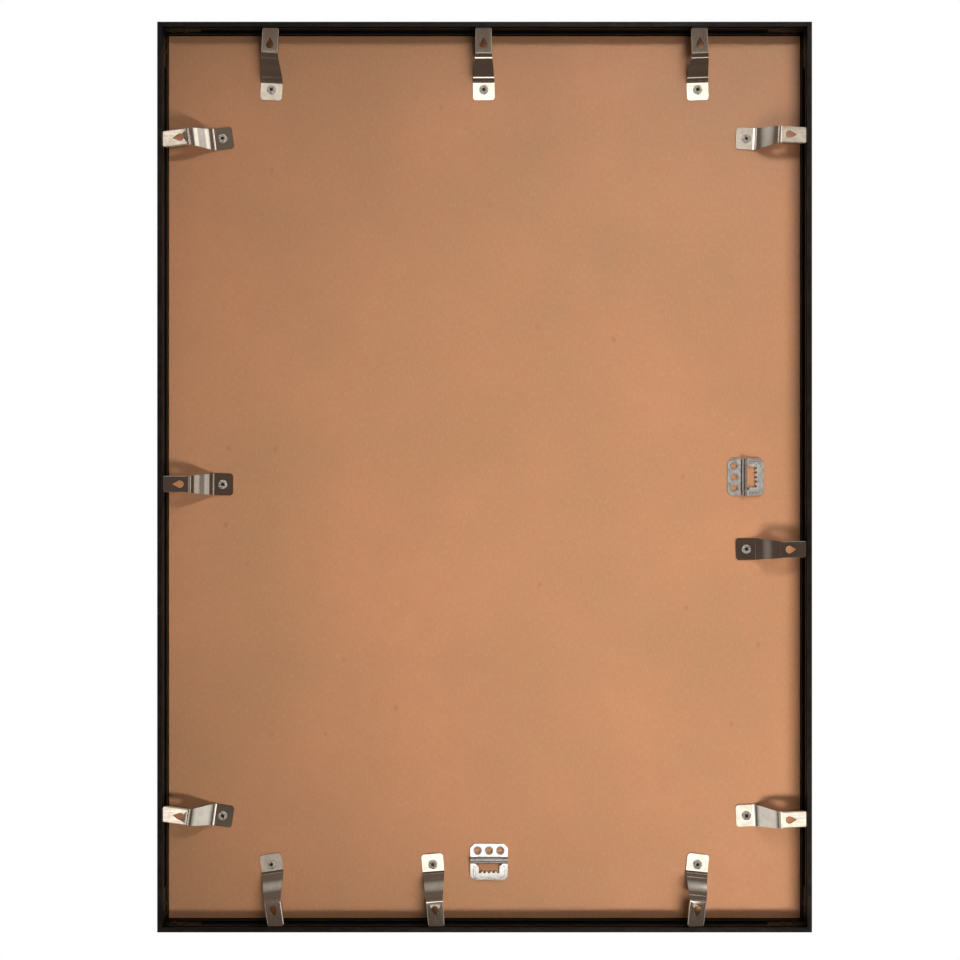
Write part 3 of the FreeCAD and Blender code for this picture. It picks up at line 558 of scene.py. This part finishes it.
def rivet_tree():
    tree = bpy.data.node_groups.new("petal_rivets", "GeometryNodeTree")
    tree.interface.new_socket("Geometry", in_out="INPUT", socket_type="NodeSocketGeometry")
    named_input(tree, "Petals", "NodeSocketFloat", 5.0)
    named_input(tree, "Petal depth", "NodeSocketFloat", 0.45 * MM)
    named_input(tree, "Petal width", "NodeSocketFloat", 0.4 * MM)
    named_input(tree, "Seed", "NodeSocketInt", 11)
    named_input(tree, "Finish", "NodeSocketMaterial", nickel)
    tree.interface.new_socket("Geometry", in_out="OUTPUT", socket_type="NodeSocketGeometry")
    given = add(tree, "NodeGroupInput").outputs
    master = add(tree, "GeometryNodeObjectInfo", {"Object": rivet_master}).outputs["Geometry"]
    here = add(tree, "GeometryNodeInputPosition").outputs[0]
    parts = add(tree, "ShaderNodeSeparateXYZ", {0: here}).outputs
    around = calculate(tree, "ARCTAN2", parts["Z"], parts["X"])
    wave = calculate(tree, "COSINE", calculate(tree, "MULTIPLY", around, given["Petals"]))
    between = calculate(tree, "MULTIPLY", calculate(tree, "SUBTRACT", 1.0, wave), 0.5)
    cleft = calculate(tree, "POWER", between, NARROW_CLEFT)
    on_head = spread(tree, parts["Y"], *HEAD_TOP)
    deep = calculate(tree, "MULTIPLY", cleft, given["Petal depth"])
    lower = calculate(tree, "MULTIPLY", deep, on_head)
    reach = vector_math(tree, "MULTIPLY", {0: here, 1: (1, 0, 1)})[0]
    outward = vector_math(tree, "NORMALIZE", {0: reach})[0]
    radius = vector_math(tree, "LENGTH", {0: reach})["Value"]
    on_rim = calculate(tree, "MULTIPLY", spread(tree, parts["Y"], *HEAD_SIDE),
                       spread(tree, radius, *OUTER_RING))
    narrow = calculate(tree, "MULTIPLY", cleft, given["Petal width"])
    inward = calculate(tree, "MULTIPLY", calculate(tree, "MULTIPLY", narrow, on_rim), -1.0)
    pull = vector_math(tree, "SCALE", {0: outward, "Scale": inward})[0]
    down = calculate(tree, "MULTIPLY", lower, -1.0)
    drop = add(tree, "ShaderNodeCombineXYZ", {"Y": down}).outputs[0]
    shift = vector_math(tree, "ADD", {0: pull, 1: drop})[0]
    petals = add(tree, "GeometryNodeSetPosition", {"Geometry": master, "Offset": shift}).outputs[0]
    spin = add(tree, "FunctionNodeRandomValue", {2: 0.0, 3: math.tau, "Seed": given["Seed"]},
               data_type="FLOAT")
    angles = add(tree, "ShaderNodeCombineXYZ", {"Y": spin.outputs[1]}).outputs[0]
    turned = add(tree, "FunctionNodeEulerToRotation", {0: angles}).outputs[0]
    place_on_points(tree, given, petals, turned)
    return tree


rivets = grown("petal_rivets", list(rivet_places.values()), rivet_tree())
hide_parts("clip_rivets")
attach(rivets, body_of["clip_rivets"])
print("rivets:", len(rivets.data.polygons), "faces")

# %% [markdown]
# ## Room, light and camera
#
# The frame hangs above a plain pale floor. Two long lamps on the right, one above and one below,
# light the board at a slant, so the rim and the clips throw the shadows seen in the photo. A third
# lights the front. Bright metal is nearly a mirror and shows what stands opposite. White cards,
# which gloss alone can see, stand where the flat part of each clip looks, and the room behind the
# camera is dim, as a photographer keeps it. Camera and glass see a plain white sky.

# %% Floor
low, high = cad_box
mid = (low[2] + high[2]) / 2
FLOOR_DROP, FLOOR_REACH = 0.83, 14.0
floor_height = low[2] - FLOOR_DROP
WHITE = (1, 1, 1, 1)


def floor_finish():
    """Pale near the frame, and further off plain white, or dim for gloss from behind."""
    dim = (0.16, 0.124, 0.106, 1)
    material = bpy.data.materials.new("pale_floor")
    material.use_nodes = True
    tree = material.node_tree
    tree.nodes.clear()
    here = add(tree, "ShaderNodeTexCoord").outputs["Object"]
    flat = vector_math(tree, "MULTIPLY", {0: here, 1: (1, 1, 0)})[0]
    away = vector_math(tree, "LENGTH", {0: flat})["Value"]
    behind = spread(tree, add(tree, "ShaderNodeSeparateXYZ", {0: here}).outputs["Y"], 0.5, 1.3)
    path = add(tree, "ShaderNodeLightPath").outputs
    gloss = blend_colours(tree, behind, WHITE, dim)
    shade = blend_colours(tree, path["Is Glossy Ray"], WHITE, gloss)
    seen = calculate(tree, "MAXIMUM", path["Is Camera Ray"],
                     calculate(tree, "MAXIMUM", path["Is Glossy Ray"], path["Is Transmission Ray"]))
    far = calculate(tree, "MULTIPLY", spread(tree, away, 0.25, 1.0, 0.35, 1.0), seen)
    real = add(tree, "ShaderNodeBsdfDiffuse", {"Color": (0.86, 0.85, 0.83, 1)}).outputs[0]
    pale = add(tree, "ShaderNodeEmission", {"Color": shade, "Strength": 1.0}).outputs[0]
    mixed = add(tree, "ShaderNodeMixShader", {0: far, 1: real, 2: pale}).outputs[0]
    add(tree, "ShaderNodeOutputMaterial", {"Surface": mixed})
    return material


floor_mesh = bpy.data.meshes.new("floor")
floor_corners = [(x * FLOOR_REACH, y * FLOOR_REACH, floor_height)
                 for x, y in ((-1, -1), (1, -1), (1, 1), (-1, 1))]
floor_mesh.from_pydata(floor_corners, [], [(0, 1, 2, 3)])
floor_mesh.materials.append(floor_finish())
floor = bpy.data.objects.new("floor", floor_mesh)
bpy.context.collection.objects.link(floor)
print("floor at", round(floor_height, 3))

# %% Sky
def studio_sky():
    """White for camera and glass, dim for light, and for gloss dim behind and bright elsewhere."""
    dim, bright_wall, faint = (0.098, 0.07, 0.059, 1), (0.9, 0.9, 0.9, 1), (0.04, 0.038, 0.036, 1)
    world = bpy.data.worlds.new("studio")
    world.use_nodes = True
    tree = world.node_tree
    tree.nodes.clear()
    path = add(tree, "ShaderNodeLightPath").outputs
    seen = calculate(tree, "MAXIMUM", path["Is Camera Ray"], path["Is Transmission Ray"])
    toward = add(tree, "ShaderNodeTexCoord").outputs["Generated"]
    way = add(tree, "ShaderNodeSeparateXYZ", {0: toward}).outputs
    front = spread(tree, way["Y"], 0.05, 0.55, 1.0, 0.0)
    wide = spread(tree, calculate(tree, "ABSOLUTE", way["X"]), 0.45, 0.7)
    steep = spread(tree, calculate(tree, "ABSOLUTE", way["Z"]), 0.12, 0.3)
    bright = calculate(tree, "MAXIMUM", front, calculate(tree, "MULTIPLY", wide, steep))
    gloss = blend_colours(tree, bright, dim, bright_wall)
    unseen = blend_colours(tree, path["Is Glossy Ray"], faint, gloss)
    colour = blend_colours(tree, seen, unseen, WHITE)
    sky = add(tree, "ShaderNodeBackground", {"Color": colour, "Strength": 1.0}).outputs[0]
    add(tree, "ShaderNodeOutputWorld", {"Surface": sky})
    return world


bpy.context.scene.world = studio_sky()
print("sky:", bpy.context.scene.world.name)

# %% Lamps for the matt surfaces
LAMP_COLOUR = (1.0, 0.965, 0.92)
FRAME_MIDDLE = (0, 0, mid)
FRONT = (-0.9, -1.9, mid + 1.0)  # up on one side before the picture


def panel(name, place, aim, wide, tall, power):
    """A flat lamp, turned toward its aim, that the camera doesn't see. Power is in watts."""
    data = bpy.data.lights.new(name, "AREA")
    data.shape = "RECTANGLE"
    data.size = wide
    data.size_y = tall
    data.energy = power
    data.color = LAMP_COLOUR
    lamp = bpy.data.objects.new(name, data)
    lamp.location = place
    lamp.rotation_euler = (Vector(aim) - Vector(place)).to_track_quat("-Z", "Y").to_euler()
    lamp.visible_camera = False
    bpy.context.collection.objects.link(lamp)
    return lamp


for name, height, power in (("lamp_above", 0.37, 2.1), ("lamp_below", -1.0, 1.35)):
    lamp = panel(name, (0.40, 0.675, height), (0.04, 0, mid), 0.7, 0.12, power)
    lamp.data.spread = math.radians(78)
    lamp.visible_glossy = False
panel("lamp_front", FRONT, FRAME_MIDDLE, 1.2, 1.2, 60.0).visible_glossy = False
print("lamps:", len(bpy.data.lights))

# %% White cards for the gloss
cards = (  # name, place, width, height, brightness with 1 for plain white
    ("card_top_clips", (0.26, 2.4, 0.955), 1.22, 0.34, 2.2),
    ("card_top_left", (-0.76, 2.4, 1.07), 0.3, 0.2, 0.5),
    ("card_bottom_clips", (0.25, 1.6, -1.255), 0.82, 0.26, 2.2),
    ("card_bottom_left", (-0.57, 1.6, -1.371), 0.25, 0.11, 0.95),
    ("card_right_upper", (1.06, 2.4, 0.92), 0.36, 0.13, 1.9),
    ("card_right_lower", (0.79, 1.6, -1.238), 0.24, 0.09, 0.8),
    ("card_left_upper", (-1.12, 2.4, 0.92), 0.16, 0.13, 1.8),
    ("card_left_lower", (-0.83, 1.6, -1.238), 0.10, 0.09, 1.3),
    ("card_hanger", (0.96, 2.4, -0.32), 0.3, 0.22, 0.62),
    ("card_hanger_high", (1.0, 2.4, -0.277), 0.1, 0.035, 1.7),
    ("card_hanger_low", (1.0, 2.4, -0.368), 0.1, 0.035, 1.7),
    ("card_right_side", (1.9, 1.5, mid), 0.6, 2.2, 0.5))
for name, place, wide, tall, brightness in cards:
    aim = FRAME_MIDDLE if "side" in name else (place[0], 0, place[2])
    card = panel(name, place, aim, wide, tall, brightness * math.pi * wide * tall)
    card.visible_diffuse = False
low_left = panel("card_left_floor", (0.89, 0.8, -1.35), (-0.22, 0, -0.58), 0.3, 0.2, 0.17)
low_left.visible_diffuse = False
panel("card_front", FRONT, FRAME_MIDDLE, 1.2, 1.2, 4.0).visible_diffuse = False
print("cards:", len(cards) + 2)

# %% Camera
camera_data = bpy.data.cameras.new("camera")
camera_data.sensor_width = 36.0
camera_data.lens = 31.2
camera = bpy.data.objects.new("camera", camera_data)
camera.location = (-0.0036, 0.664, -0.313)
camera.rotation_euler = (math.radians(-90), 0, 0)
bpy.context.collection.objects.link(camera)
bpy.context.scene.camera = camera
bpy.context.scene.view_settings.view_transform = "Standard"
print("camera at", tuple(camera.location))
